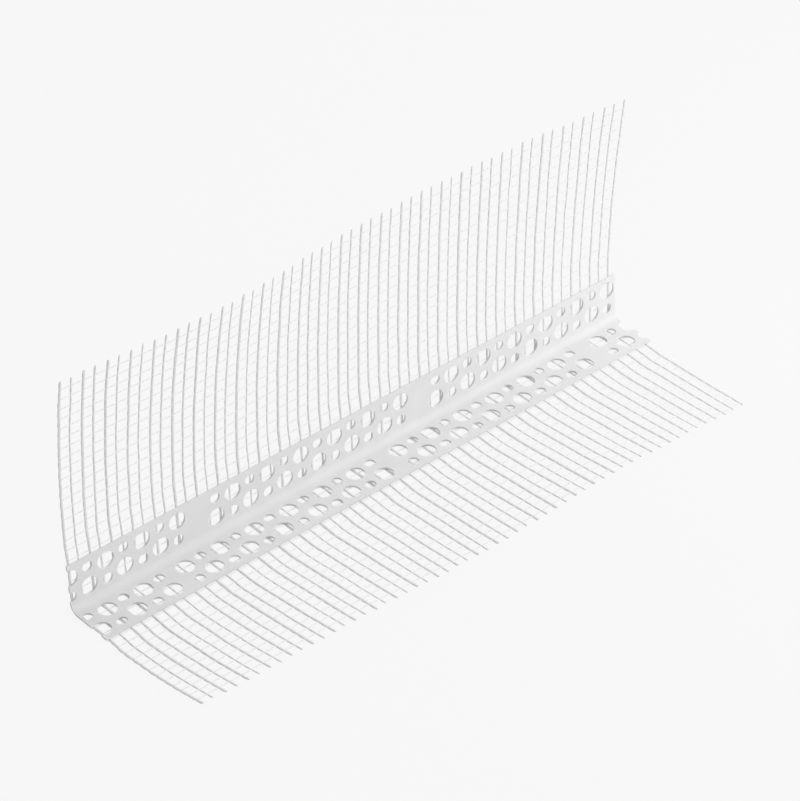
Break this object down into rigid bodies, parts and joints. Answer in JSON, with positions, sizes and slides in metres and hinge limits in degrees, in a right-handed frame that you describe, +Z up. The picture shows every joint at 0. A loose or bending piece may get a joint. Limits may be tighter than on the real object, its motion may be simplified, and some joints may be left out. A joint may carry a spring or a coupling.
{
  "type": "mesh corner bead",
  "caption": "Perforated plastic angle with a strip of open glass-fibre mesh bonded to its outside as two wings, for edging and reinforcing a rendered wall corner.",
  "frame": {"origin": "under the middle of the whole bead, at the underside of the mesh it lies on", "axes": "+X along the bead, +Y towards the back of the upright leg, +Z up along the upright leg"},
  "size_m": [0.274, 0.0824, 0.1125],
  "materials": {
    "pvc": "extruded, satin white",
    "glass_mesh": "coated woven glass fibre, matt white"
  },
  "bodies": {
    "root": {"corner_profile": "pvc", "mesh_lower_1": "glass_mesh", "mesh_lower_2": "glass_mesh", "mesh_lower_3": "glass_mesh", "mesh_lower_4": "glass_mesh", "mesh_upper_1": "glass_mesh", "mesh_upper_2": "glass_mesh", "mesh_upper_3": "glass_mesh", "mesh_upper_4": "glass_mesh"}
  },
  "joints": []
}
